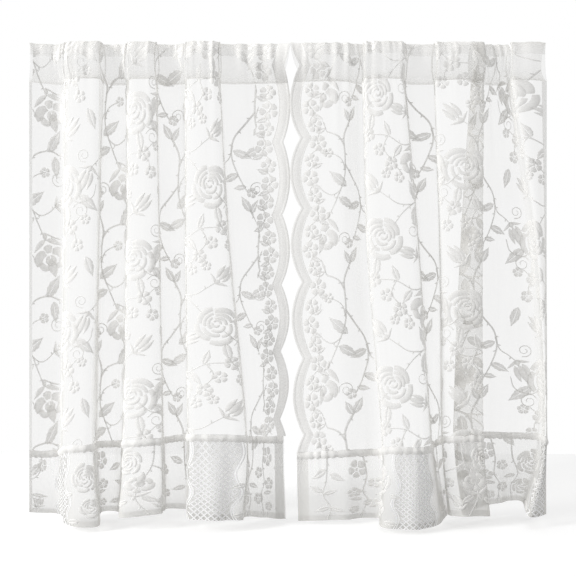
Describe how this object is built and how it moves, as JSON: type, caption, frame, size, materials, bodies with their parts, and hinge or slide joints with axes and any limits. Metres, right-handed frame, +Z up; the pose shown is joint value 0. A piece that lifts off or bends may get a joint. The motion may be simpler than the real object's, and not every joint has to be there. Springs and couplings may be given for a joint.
{
  "type": "cafe curtain",
  "caption": "Pair of white floral lace cafe curtain panels with rod pockets, scalloped leading edges and a gathered flounce.",
  "frame": {"origin": "middle of the pair's top edge, over the rod's centre line", "axes": "+X along the rod to the viewer's right, +Y away from the room towards the window, +Z up"},
  "size_m": [0.8277, 0.1044, 0.764],
  "materials": {
    "doubled_lace": "matt",
    "figured_lace": "matt",
    "trellis_lace": "matt"
  },
  "bodies": {
    "root": {"left_rod_pocket": "doubled_lace", "left_panel": "figured_lace", "left_flounce": "trellis_lace", "right_rod_pocket": "doubled_lace", "right_panel": "figured_lace", "right_flounce": "trellis_lace"}
  },
  "joints": []
}
